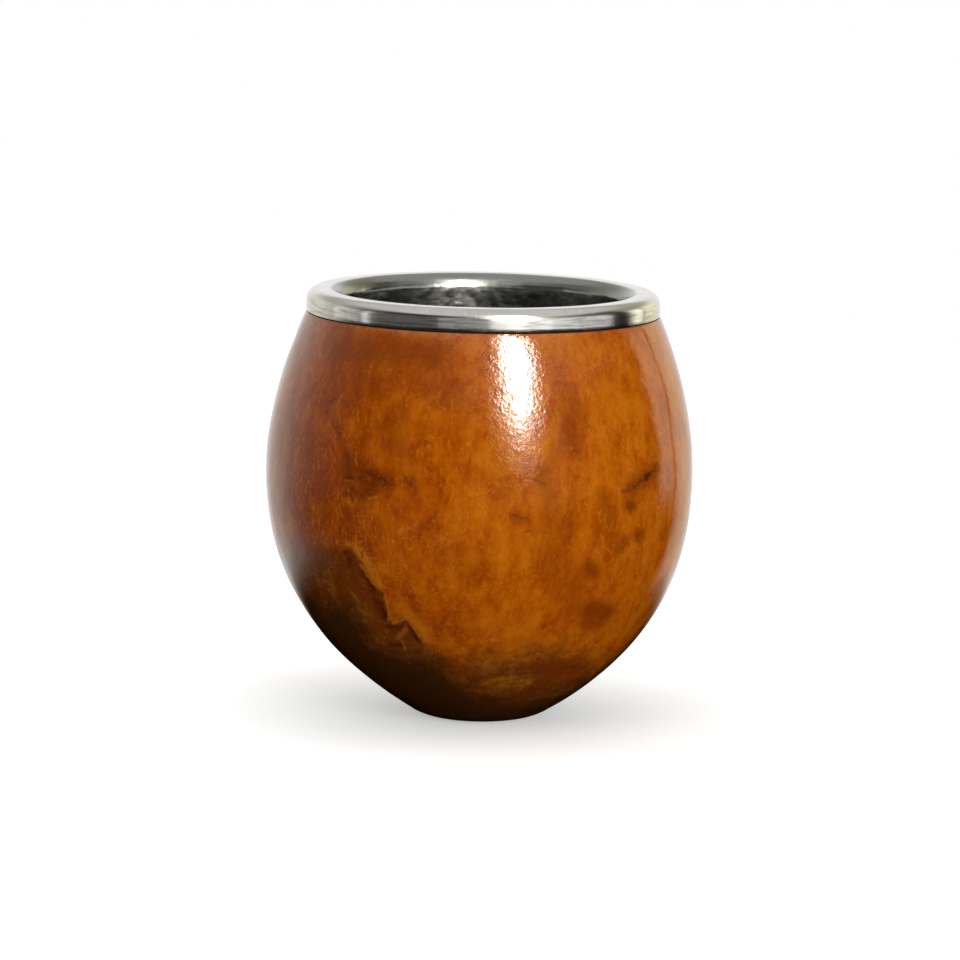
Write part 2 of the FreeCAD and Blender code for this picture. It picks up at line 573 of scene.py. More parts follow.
def make_effects() -> None:
    """Makes the effects that the finishes share: strokes, mottling, grime and pores."""
    origin = (0.0, 0.0, 0.0)
    line = {"Point": origin, "Start": origin, "End": origin}
    look = {"Width": 1.0, "Softness": 0.5, "Strength": 1.0}
    graph, given = new_effect("drawn_stroke", "Mask", {**line, **look})
    run = graph.vector("SUBTRACT", given["End"], given["Start"])
    reach = graph.vector("SUBTRACT", given["Point"], given["Start"])
    share = graph.measure("DOT_PRODUCT", reach, run) / graph.measure("DOT_PRODUCT", run, run)
    away = graph.measure("DISTANCE", reach, graph.scaled(run, share.clamped()))
    inner = given["Width"] - given["Softness"]
    outer = given["Width"] + given["Softness"]
    stroke = (1.0 - away.step(inner, outer)) * given["Strength"]
    graph.node("NodeGroupOutput", {"Mask": stroke})

    clouds = {"Coarse": (13.0, 3.0), "Medium": (3.2, 4.0), "Fine": (0.85, 3.0)}
    graph, given = new_effect("mottling", "Tone", {"Point": origin, **dict.fromkeys(clouds, 1.0)})
    tone: object = 0.5
    for key, (size, detail) in clouds.items():
        tone = (graph.noise(given["Point"], size, detail, 0.6) - 0.5) * given[key] + tone
    graph.node("NodeGroupOutput", {"Tone": tone.clamped()})

    graph, given = new_effect("grime", "Mask", {"Point": origin, "Size": 6.0, "Amount": 0.5})
    cloud = graph.noise(graph.scaled(given["Point"], 1.0 / given["Size"]), 1.0, 5.0, 0.62)
    edge = 0.78 - given["Amount"] * 0.5
    graph.node("NodeGroupOutput", {"Mask": cloud.step(edge - 0.12, edge + 0.12)})

    graph, given = new_effect("pores", "Height", {"Point": origin, "Size": 0.9})
    spread = graph.warped(graph.scaled(given["Point"], 1.0 / given["Size"]), 1.4, 0.7)
    inputs = {"Vector": spread, "Scale": 1.0}
    cells = graph.out("ShaderNodeTexVoronoi", "Distance", inputs, feature="DISTANCE_TO_EDGE")
    height = cells.step(0.0, 0.35) * 0.6 + graph.noise(spread, 0.55, 2.0, 0.5) * 0.8
    graph.node("NodeGroupOutput", {"Height": height})


# Marks on the skin


@dataclass(frozen=True)
class Stroke:
    """A mark drawn through several places on the skin, each an azimuth and a height."""

    places: tuple[Point, ...]
    width: float
    softness: float
    strength: float


def strokes(*rows: tuple[float, ...]) -> tuple[Stroke, ...]:
    """Strokes from rows of numbers.

    Args:
        rows: width, softness and strength of each, then an azimuth and a height for each place.

    Returns:
        The strokes, in the same order.
    """
    return tuple(Stroke(tuple(zip(row[3::2], row[4::2])), *row[:3]) for row in rows)


@dataclass(frozen=True)
class GourdForm:
    """The outer form of the gourd, as the finishes and the relief need it."""

    outline: Outline
    growth: Growth

    def on_skin(self, azimuth: float, height: float) -> Vector:
        """The skin's point at an azimuth and a height, in millimetres."""
        line = np.array(self.outline.points(0.5))
        radius = float(np.interp(height, line[:, 1], line[:, 0]))
        angle = math.radians(azimuth - 90)
        turned = np.array([[radius * math.cos(angle), radius * math.sin(angle), height]])
        return Vector(self.growth.moved(turned)[0])


# Finishes


@dataclass(frozen=True)
class VarnishedSkin:
    """Calabash skin, mottled and scorched, under clear varnish.

    The mesh keeps the wide marks as numbers, one for each vertex: how many millimetres a place
    lies inside the scorched and the burnt zone, and how strong the ochre and the stains are.
    """

    deep: Colour = (0.225, 0.034, 0.0010)
    amber: Colour = (0.355, 0.070, 0.0010)
    bright: Colour = (0.46, 0.122, 0.0035)
    scorched: Colour = (0.105, 0.0265, 0.0028)
    singed: Colour = (0.195, 0.060, 0.0090)
    burnt: Colour = (0.0400, 0.0135, 0.0026)
    ochre: Colour = (0.39, 0.118, 0.0060)
    pale: Colour = (0.44, 0.140, 0.0140)
    fleck: Colour = (0.52, 0.175, 0.0140)
    stain: Colour = (0.135, 0.0240, 0.0022)
    bruise: Colour = (0.108, 0.0190, 0.0014)
    blotch: Colour = (0.200, 0.034, 0.0008)
    dark_red: Colour = (0.036, 0.0062, 0.0008)
    gloss: float = 0.055
    scar_turn: float = 0.422
    scar_reach: Point = (0.033, 0.062)
    highlight_turn: float = 0.53
    # Painted side light and shade: the tone by azimuth, darker on the left and lighter on the right,
    # partly the skin's own darker left side.
    side_light: tuple[Point, ...] = (
        (-180, 0.40), (-120, 0.38), (-75, 0.34), (-55, 0.31), (-42, 0.35), (-20, 0.47),
        (0, 0.53), (25, 0.60), (50, 0.62), (75, 0.58), (120, 0.50), (180, 0.42),
    )
    burn_edge: tuple[Point, ...] = (
        (-180, 24), (-150, 20), (-120, 26), (-90, 28.0), (-67, 27.4), (-59, 27.2), (-51, 27.6),
        (-45, 27.2), (-41, 26.2), (-38.6, 25.0), (-37.9, 23.0), (-37.5, 20.7), (-34.6, 19.0),
        (-30, 18.7), (-24, 18.1), (-19, 17), (-14, 14.5), (-8, 11.5), (-2, 10), (5, 8.5),
        (15, 7.5), (27, 7.5), (38, 8.0), (60, 9.5), (75, 13), (95, 19), (125, 17), (152, 22),
        (180, 24),
    )
    scorch_edge: tuple[Point, ...] = (
        (-180, 34), (-150, 29), (-120, 33), (-90, 36), (-70, 37), (-58.4, 37.7), (-52.4, 37.9),
        (-46.4, 39.6), (-42.5, 39.7), (-39.8, 38.7), (-37.3, 39.2), (-35.1, 38.3), (-34.1, 36.9),
        (-33.5, 35.1), (-31.9, 33.5), (-30.2, 32.6), (-28.3, 31.2), (-28.15, 29.1), (-28.0, 26.9),
        (-27.9, 24.9), (-25.7, 24.9), (-22.4, 25.7), (-21.2, 24.0), (-20.0, 21.8), (-18.0, 20.3),
        (-16.6, 18.8), (-13.8, 18.0), (-8, 17.6), (-2.5, 17.6), (5, 18.2), (12.5, 18.8),
        (17, 19.2), (22, 19.2), (30, 18.8), (36, 17.5), (42, 15.8), (50, 14), (60, 13.5),
        (75, 20), (95, 27), (125, 24), (152, 30), (180, 34),
    )
    ochre_marks: tuple[Stroke, ...] = strokes(
        (0.6, 0.6, 0.8, -40.5, 40.6, -36.5, 40.6, -34, 39.9),
        (1.05, 0.55, 1.1, -34.2, 39.9, -32.3, 38.4, -31.1, 36.4, -29.9, 34.4, -28.9, 32.9),
        (0.5, 0.6, 0.6, -26.5, 27.4, -23.6, 27.4, -20.9, 26.4),
        (1, 0.6, 1.05, -21.2, 26.6, -19.5, 25.2, -18.2, 23.2, -17.2, 21.6),
        (0.8, 0.8, 0.45, -46.4, 41, -45, 40.6),
        (0.9, 0.8, 0.6, 2.6, 11.4, 8.7, 12.6, 15.1, 12.6, 21.5, 11.4),
        (0.8, 0.8, 0.4, 6, 10.6, 13, 11, 20, 10.4),
        (0.5, 0.6, 0.22, 28.1, 6.6, 35.6, 7.4, 45.6, 7.4),
    )
    stains: tuple[Stroke, ...] = strokes(
        (0.75, 0.7, 0.8, -37.4, 58.8, -36.8, 56.1, -35.9, 53.6),
        (0.8, 0.7, 0.75, -33.6, 57, -30.4, 56.2, -27.6, 55.4),
        (1.25, 0.8, 0.85, -31.9, 54.5, -27.6, 54.7, -24, 53.8),
        (0.7, 0.6, 0.8, -30.5, 55.2, -27.8, 53.1),
        (1.2, 1.1, 0.5, -33.2, 56, -27.4, 54.6, -30.6, 52.2),
        (0.95, 0.8, 0.85, -28.4, 52.6, -31.9, 50.9),
        (0.45, 0.45, 1, -37.4, 50.2, -36.6, 51.7, -34.6, 51.9, -33.6, 50.9),
        (1.2, 1, 0.55, -21, 54.9, -17, 53.9),
        (0.8, 0.8, 0.7, -43.5, 64.6, -41.1, 62.8),
        (0.7, 0.8, 0.5, -51.7, 46.3, -51.1, 42.2),
        (0.9, 0.9, 0.35, -43.8, 56.7, -44.5, 52),
        (1.1, 1.6, 0.35, -48, 71, -47, 66.5, -41, 62.5, -38, 59.5),
        (0.9, 0.8, 0.55, 50.2, 54.3, 54.5, 55.5),
        (0.6, 0.6, 0.7, 42, 52, 46.6, 53.2, 49.8, 54.1),
        (0.9, 0.9, 0.3, 44.2, 49.4, 44.4, 48.6),
        (0.8, 0.9, 0.25, 48.4, 42.9, 48.3, 42.3),
        (2.6, 1.6, 0.6, 24, 14.8, 33, 14.2, 42, 14.6),
        (1.8, 1.6, 0.45, -9, 14.5, -2, 13.6),
        (1.4, 1.4, 0.5, -95, 62, -88, 58, -84, 59),
        (1.2, 1.4, 0.55, 112, 47, 118, 44, 126, 45.5),
        (1.6, 1.6, 0.45, 150, 66, 156, 61, 158, 55),
        (1.8, 1.5, 0.5, -142, 52, -134, 49, -130, 44),
        (1.4, 1.2, 0.5, -168, 40, -160, 38),
    )
    blotches: tuple[Stroke, ...] = strokes(
        (2, 2, 0.5, 16, 57.4, 19.6, 51.3),
        (1, 1.2, 0.45, 9.4, 48.2, 13.4, 47.6),
        (3.5, 3, 0.4, 22, 46, 20, 40),
        (2.2, 1.8, 0.8, 45, 52.6, 55, 55.8),
        (1.6, 1.1, 0.95, 44, 49.2, 44.8, 48.8),
        (1.4, 1, 0.95, 48.1, 42.7, 48.8, 42.5),
        (1.5, 1.1, 0.9, 43.1, 41.5, 42, 40.5),
        (1.3, 1.4, 0.5, 38.4, 43.6, 38.8, 43),
        (1.6, 1.2, 1, 32.9, 36.9, 33.7, 35.8),
        (2.6, 2.2, 1.15, 35.6, 27.6, 41.4, 26.6),
        (2.4, 2, 0.9, 35.8, 25.4, 41, 24.8),
        (0.9, 0.9, 0.8, 66.4, 31, 65, 28.6),
        (1.8, 1.6, 0.6, 35.3, 50.7, 37.8, 47.5),
        (2.4, 2.2, 0.55, 24, 62, 27, 69),
        (2.6, 2.4, 0.45, -25, 66, -22, 60),
        (2.6, 2.4, 0.4, -14, 74, -6, 71),
        (3.2, 3, 0.35, -8, 40, 0, 36),
        (2.4, 1.6, 0.9, -36, 55.6, -25.5, 54.2),
        (1.6, 1.4, 0.8, -34, 52.6, -29, 52),
        (2.6, 2.2, 0.8, 30, 13.5, 45, 12.5),
        (3.5, 3, 0.45, 20, 38, 26, 35, 30, 30),
        (3.6, 3.4, 0.9, -48, 79, -30, 79.5, -15, 79.5),
        (4, 3.5, 0.5, -46, 73, -30, 74),
    )
    bruises: tuple[Stroke, ...] = strokes(
        (0.75, 0.5, 0.85, -38.3, 38.9, -37, 36.4),
        (0.85, 0.5, 1, -33.4, 34.9, -31.9, 32.8, -31.4, 31.2),
        (1.1, 0.5, 1, -31.2, 29, -30.6, 27, -29.6, 25.5),
        (0.7, 0.5, 0.8, -30.2, 23.6, -26.5, 23.4, -22.6, 23.8),
        (0.8, 0.5, 0.9, -22.6, 23.6, -20.9, 22.2, -19.9, 20.9),
        (0.9, 0.7, 0.5, -36, 30.5, -34.4, 28),
        (0.6, 0.6, 0.6, -30.6, 19.5, -26.9, 19.8),
    )
    dark_lines: tuple[Stroke, ...] = strokes(
        (0.28, 0.34, 0.6, -39.1, 39, -37, 39, -36.6, 37.8),
        (0.3, 0.3, 0.7, -37.7, 37.3, -38.1, 36),
        (0.3, 0.4, 0.55, -32.9, 34.9, -31.6, 33.3, -31.2, 31.4),
        (0.35, 0.4, 0.5, -31.1, 28.6, -28.8, 28.6),
        (0.35, 0.35, 0.75, -29.8, 27.7, -29.5, 25.6),
        (0.25, 0.35, 0.45, -29.3, 23.3, -25, 24, -22, 24.9),
        (0.35, 0.4, 0.6, -22.1, 24.4, -20.9, 22.7, -20, 21.4),
        (0.4, 0.5, 0.6, -30.6, 19.3, -26.9, 19.6),
        (0.35, 0.4, 0.5, -30.4, 55.6, -28.5, 55.3),
        (0.35, 0.45, 0.4, -28.2, 54.9, -25.4, 54.4),
        (0.2, 0.25, 0.55, -37.9, 54, -34.6, 54.3),
        (0.35, 0.35, 0.6, -35.8, 50.9, -35.2, 50),
        (0.2, 0.25, 0.6, -47.4, 68.2, -44.6, 69.4),
        (0.25, 0.4, 0.4, 13.4, 55.8, 17.4, 54.4),
        (0.2, 0.3, 0.35, 13, 59.2, 15.2, 60.4),
        (0.22, 0.25, 0.45, 16, 57.9, 17.4, 57),
        (0.22, 0.28, 0.5, 9.4, 48.4, 11.3, 47.9, 13.4, 47.6),
        (0.25, 0.25, 0.4, 12.6, 45.1, 14, 45.3),
        (0.26, 0.36, 0.38, 41.6, 52, 44.3, 52.4, 46.6, 53.2, 49.1, 53.9),
        (0.62, 0.5, 0.85, 50.3, 54.2, 51.4, 54.7),
        (0.3, 0.45, 0.3, 52.1, 54.9, 54.4, 55.5),
    )
    pale_lines: tuple[Stroke, ...] = strokes(
        (0.18, 0.2, 0.75, -33.9, 36.6, -32.5, 34.7, -31.2, 33, -28.6, 32.5),
        (0.2, 0.22, 0.75, -27.3, 31.3, -27.3, 29.1, -27.6, 26.9, -28.4, 25.1),
        (0.2, 0.2, 0.85, -27.4, 24.6, -24.6, 25.3, -22, 25.9),
        (0.18, 0.2, 0.8, -21.5, 25.3, -20.3, 23.6, -19.2, 21.8),
        (0.45, 0.55, 0.45, -27.1, 21.2, -25, 22.4, -23.2, 23.4),
        (0.2, 0.28, 0.6, -25.9, 20.6, -26.3, 18.7),
        (0.18, 0.25, 0.55, -36.7, 49.3, -35.1, 48.6, -33.5, 49.7),
        (0.16, 0.22, 0.6, -8.2, 56.7, -7.9, 53.9),
        (0.25, 0.3, 0.7, -18.7, 63.3, -18.4, 62.9),
        (0.25, 0.3, 0.7, -13.5, 61.7, -13.2, 61.3),
        (0.25, 0.3, 0.6, -34.5, 57.7, -34.1, 57.1),
        (0.2, 0.3, 0.55, -30.1, 50.4, -27.4, 51),
        (0.2, 0.25, 0.5, -42.2, 61, -41.8, 60.3),
        (0.2, 0.25, 0.5, -42.8, 70.2, -43.3, 67.8),
        (0.2, 0.28, 0.3, -37.9, 53.5, -35, 53.5),
    )

    def drawn(
        self, graph: Graph, point: Signal, form: GourdForm, marks: Sequence[Stroke]
    ) -> Signal:
        """Mask of several strokes, the strongest of them at each place.

        Args:
            graph: the material's nodes.
            point: the place on the skin, in millimetres.
            form: the gourd's outer form.
            marks: what is drawn.

        Returns:
            The mask.
        """
        mask: object = 0.0
        for mark in marks:
            look = {"Width": mark.width, "Softness": mark.softness, "Strength": mark.strength}
            for start, end in zip(mark.places, mark.places[1:]):
                ends = {"Start": form.on_skin(*start), "End": form.on_skin(*end)}
                one = graph.effect("drawn_stroke", Point=point, **ends, **look)
                mask = graph.sum("MAXIMUM", mask, one)
        return mask

    def ground(self, graph: Graph, point: Signal, turn: Signal) -> Signal:
        """Colour of the sound skin: clouds, upright flecks, fine grain and wrinkles, over painted
        side light and shade.

        Args:
            graph: the material's nodes.
            point: the place on the skin, in millimetres.
            turn: the azimuth as a share of a turn.

        Returns:
            The colour.
        """
        fibre = graph.millimetres(1.7)
        tone = graph.effect("mottling", Point=fibre, Coarse=1.05, Medium=1.0, Fine=0.65)
        # Painted side light and shade: shifts the tone with azimuth, darker left and lighter right.
        side = graph.curve(turn, [((a + 180) / 360, value) for a, value in self.side_light])
        stops = [(0.16, self.deep), (0.5, self.amber), (0.86, self.bright)]
        colour = graph.ramp(tone + (side - 0.5), stops)
        for stretch, size, detail, rough, low, high, most, tint in (
            (2.2, 0.8, 2.0, 0.6, 0.58, 0.68, 0.55, self.bright),
            (0.45, 0.8, 1.0, 0.5, 0.66, 0.74, 0.4, self.bright),
            (1.5, 1.7, 1.5, 0.5, 0.71, 0.78, 0.6, self.fleck),
        ):
            cloud = graph.noise(graph.millimetres(stretch), size, detail, rough)
            colour = graph.blend(cloud.step(low, high, 0.0, most), colour, tint)
        for warp, reach, size, detail, thin, thick, patches, layers, full, most, tint in (
            (3.0, 2.6, 2.4, 1.0, 0.005, 0.02, 6.5, 2.0, 0.6, 0.45, self.fleck),
            (5.0, 4.0, 3.4, 2.0, 0.004, 0.018, 9.0, 1.0, 0.62, 0.3, self.stain),
        ):
            ridge = abs(graph.noise(graph.warped(point, warp, reach), size, detail, 0.5) - 0.5)
            patch = graph.noise(point, patches, layers, 0.5).step(0.5, full, 0.0, most)
            colour = graph.blend(ridge.step(thick, thin) * patch, colour, tint)
        return colour

    def toasted(self, graph: Graph, point: Signal, turn: Signal, skin: Signal) -> Signal:
        """Lays the scorched and the burnt zone over the skin, their edge sharp along the scar.

        Args:
            graph: the material's nodes.
            point: the place on the skin, in millimetres.
            turn: the azimuth as a share of a turn.
            skin: colour of the sound skin.

        Returns:
            The colour.
        """
        aside = abs(turn - self.scar_turn)
        soft = aside.step(*self.scar_reach, 0.35, 4.4)
        crumbs = graph.noise(point, 1.5, 3.0, 0.65) - 0.5
        clouds = graph.noise(point, 6.0, 3.0, 0.55) - 0.5
        kept = graph.kept("scorch_depth")
        depth = kept + crumbs * 4.2 + clouds * aside.step(*self.scar_reach, 1.5, 9.0)
        scorch = depth.step(soft * -1.0, soft)
        grain = graph.millimetres(1.3)
        tone = graph.effect("mottling", Point=grain, Coarse=0.7, Medium=1.7, Fine=1.6)
        brown = graph.ramp(tone, [(0.18, self.stain), (0.5, self.scorched), (0.85, self.singed)])
        skin = graph.blend(scorch * 0.9, skin, brown)

        near = abs(kept - 1.2).step(4.0, 1.0) * aside.step(0.066, 0.042)
        flakes = graph.noise(graph.millimetres(0.8), 1.7, 3.0, 0.6).step(0.55, 0.64, 0.0, 0.5)
        skin = graph.blend(flakes * near, skin, self.singed)
        dark = (graph.kept("bruise") + crumbs * 1.6).step(0.3, 0.75, 0.0, 0.85) + near * 0.12
        skin = graph.blend(dark, skin, self.bruise)

        depth = graph.kept("burn_depth") + clouds * 10.0 + crumbs
        return graph.blend(depth.step(-3.4, 5.0, 0.0, 0.9), skin, self.burnt)

    def material(self, form: GourdForm) -> bpy.types.Material:
        """Makes the material.

        Args:
            form: the gourd's outer form, which the marks are placed on.

        Returns:
            The finished material.
        """
        made, graph = new_material("varnished_skin")
        point = graph.millimetres()
        x, y, height = graph.split(point)
        turn = graph.turn(x, y)

        skin = self.toasted(graph, point, turn, self.ground(graph, point, turn))
        crumbs = graph.noise(point, 1.0, 3.0, 0.6)
        patchy = crumbs.step(0.36, 0.6, 0.2, 1.3)
        for name, share, tint in (
            ("blotch", crumbs.step(0.3, 0.62, 0.75, 1.0), self.blotch),
            ("ochre", patchy, self.ochre),
            ("stain", patchy, self.stain),
        ):
            skin = graph.blend((graph.kept(name) * share).clamped(), skin, tint)
        shaken = graph.warped(point, 1.3, 1.1)
        lines = self.drawn(graph, shaken, form, self.dark_lines)
        skin = graph.blend(lines, skin, self.dark_red)
        threads = self.drawn(graph, shaken, form, self.pale_lines)
        skin = graph.blend(threads, skin, self.pale)
        # Painted shade, partly grime: the skin darkens towards the burnt colour in its last 0.2 mm
        # under the ferrule's edge.
        top = form.growth.skin_top
        skin = graph.blend(height.step(top - 0.2, top - 0.02, 0.0, 0.7), skin, self.burnt)

        pores = graph.effect("pores", Point=point, Size=1.05)
        wrinkled = graph.noise(point, 1.1, 2.0, 0.5)
        orange_peel = graph.noise(point, 5.0, 1.0, 0.5)
        front = abs(turn - self.highlight_turn).step(0.07, 0.16, 1.0, 0.3)
        relief = (pores * 0.013 + wrinkled * 0.048) * front + orange_peel * 0.05
        relief = relief - lines * 0.035 + threads * 0.02
        grime = graph.effect("grime", Point=point, Size=7.0, Amount=0.45)
        rough = grime.step(0.0, 1.0, self.gloss, self.gloss + 0.05) + lines * 0.2
        graph.coat(skin, rough, relief, {"IOR": 1.52})
        return made


@dataclass(frozen=True)
class CutWood:
    """Gourd wall where it was cut or sanded: pale, dry and fibrous."""

    pale: Colour = (0.42, 0.27, 0.125)
    brown: Colour = (0.22, 0.115, 0.045)
    soiled: Colour = (0.07, 0.038, 0.02)
    glue: Colour = (0.006, 0.004, 0.003)

    def material(self, rim_height: float) -> bpy.types.Material:
        """Makes the material.

        Args:
            rim_height: height of the trued rim, from which up dark glue covers the wood.

        Returns:
            The finished material.
        """
        made, graph = new_material("cut_wood")
        point = graph.millimetres()
        tone = graph.effect("mottling", Point=point, Coarse=0.5, Medium=0.8, Fine=1.0)
        wood = graph.ramp(tone, [(0.25, self.brown), (0.75, self.pale)])
        grime = graph.effect("grime", Point=point, Size=5.0, Amount=0.7)
        wood = graph.blend(grime * 0.6, wood, self.soiled)
        glued = graph.split(point)[2].step(rim_height - 0.2, rim_height - 0.05)
        wood = graph.blend(glued, wood, self.glue)
        scuffs = graph.noise(graph.millimetres(0.1), 0.5, 3.0, 0.6)
        pores = graph.effect("pores", Point=point, Size=0.5)
        rough = scuffs.step(0.0, 1.0, 0.62, 0.85)
        graph.coat(wood, rough, (pores + scuffs) * 0.04, {"IOR": 1.45})
        return made


@dataclass(frozen=True)
class ScrapedHollow:
    """Inside of the gourd: scraped out, dark from the herb and matte."""

    pith: Colour = (0.16, 0.085, 0.035)
    dark: Colour = (0.045, 0.022, 0.010)
    cured: Colour = (0.030, 0.024, 0.008)

    def material(self) -> bpy.types.Material:
        """Makes the material."""
        made, graph = new_material("scraped_hollow")
        point = graph.millimetres()
        strands = graph.warped(graph.millimetres(6.0), 3.0, 1.4)
        tone = graph.effect("mottling", Point=strands, Coarse=0.7, Medium=1.2, Fine=1.0)
        wall = graph.ramp(tone, [(0.2, self.dark), (0.8, self.pith)])
        grime = graph.effect("grime", Point=point, Size=9.0, Amount=0.8)
        wall = graph.blend(grime * 0.7, wall, self.cured)
        fibres = graph.noise(strands, 0.7, 4.0, 0.65)
        graph.coat(wall, fibres.step(0.2, 0.8, 0.7, 0.95), fibres * 0.28, {"IOR": 1.4})
        return made


@dataclass(frozen=True)
class PolishedSteel:
    """Stainless sheet, spun and polished, with hairlines round it, a rougher sleeve inside and
    painted shade in the throat and sleeve.
    """

    bright: Colour = (0.62, 0.61, 0.58)
    dull: Colour = (0.47, 0.46, 0.43)
    # Darker metal painted into the throat and sleeve as shade.
    painted_throat_shade: Colour = (0.25, 0.255, 0.245)
    polish: float = 0.10
    lump_size: float = 5.2

    def material(self, sleeve_radius: float, throat_height: float) -> bpy.types.Material:
        """Makes the material.

        Args:
            sleeve_radius: radius of the sleeve's inside.
            throat_height: height at which the sleeve starts to flare.

        Returns:
            The finished material.
        """
        made, graph = new_material("polished_steel")
        point = graph.millimetres()
        x, y, height = graph.split(point)
        flat = graph.joined(x, y)
        radius = graph.measure("LENGTH", flat)
        round_it = graph.vector("NORMALIZE", flat)
        down = graph.joined(z=(height + radius) * 9.0)
        lay = graph.vector("ADD", graph.scaled(round_it, 2.2), down)
        hairlines = graph.noise(lay, 1.0, 4.0, 0.7)
        throat = radius.step(sleeve_radius + 2.5, sleeve_radius + 1.5)
        inside = radius.step(sleeve_radius + 1.1, sleeve_radius + 0.2)
        inside = inside * height.step(throat_height + 1.2, throat_height - 0.3)

        smears = graph.effect("grime", Point=point, Size=8.0, Amount=0.55)
        specks = graph.effect("grime", Point=point, Size=1.1, Amount=0.12)
        metal = graph.blend(smears * 0.35, self.bright, self.dull)
        metal = graph.blend(specks * 0.6, metal, self.dull)
        deep = graph.joined(z=height * 1.6)
        streaks = graph.vector("ADD", graph.scaled(round_it, 5.0), deep)
        streaks = graph.noise(streaks, 1.0, 3.0, 0.6).step(0.42, 0.68, 0.0, 0.75)
        band = height.step(throat_height + 1.6, throat_height + 0.6)
        metal = graph.blend(streaks * band, metal, self.dull, way="MULTIPLY")
        # Painted shade: the throat and sleeve get a darker grey metal, which dims their reflections.
        metal = graph.blend(throat, metal, self.painted_throat_shade)
        rough = smears.step(0.0, 1.0, self.polish, self.polish + 0.05)
        rough = rough + hairlines.step(0.35, 0.75, 0.0, 0.05) + throat * 0.085

        lumps = graph.noise(point, self.lump_size, 2.5, 0.55) * inside * 0.42
        waves = graph.noise(point, 7.0, 1.0, 0.4) * 0.02
        graph.coat(metal, rough, lumps + waves + hairlines * 0.0006, {"Metallic": 1.0})
        return made


# Sub-assemblies


@dataclass(frozen=True)
class MouthFit:
    """Sizes that the ferrule and the gourd share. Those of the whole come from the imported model."""

    total_height: float
    sleeve_bottom: float
    band_radius: float
    rim_width: float = 7.0
    sheet: float = 0.8
    lip_height: float = 4.6
    funnel_radius: float = 2.6
    shoulder_radius: float = 2.3
    edge_round: float = 0.12
    glue_gap: float = 0.15
    seam_gap: float = 0.2
    bore_run_out: float = 1.2
    corner_ease: float = 0.3

    @property
    def bore_radius(self) -> float:
        """Radius of the ferrule's bore."""
        return self.band_radius - self.rim_width

    @property
    def skin_top(self) -> float:
        """Height at which the gourd's skin ends."""
        return self.total_height - self.lip_height - self.seam_gap / 2

    @property
    def band_bottom(self) -> float:
        """Height of the ferrule's lower edge outside."""
        return self.total_height - self.lip_height + self.seam_gap / 2

    @property
    def lip_underside(self) -> float:
        """Height of the sheet's underside at the crown."""
        return self.total_height - self.sheet


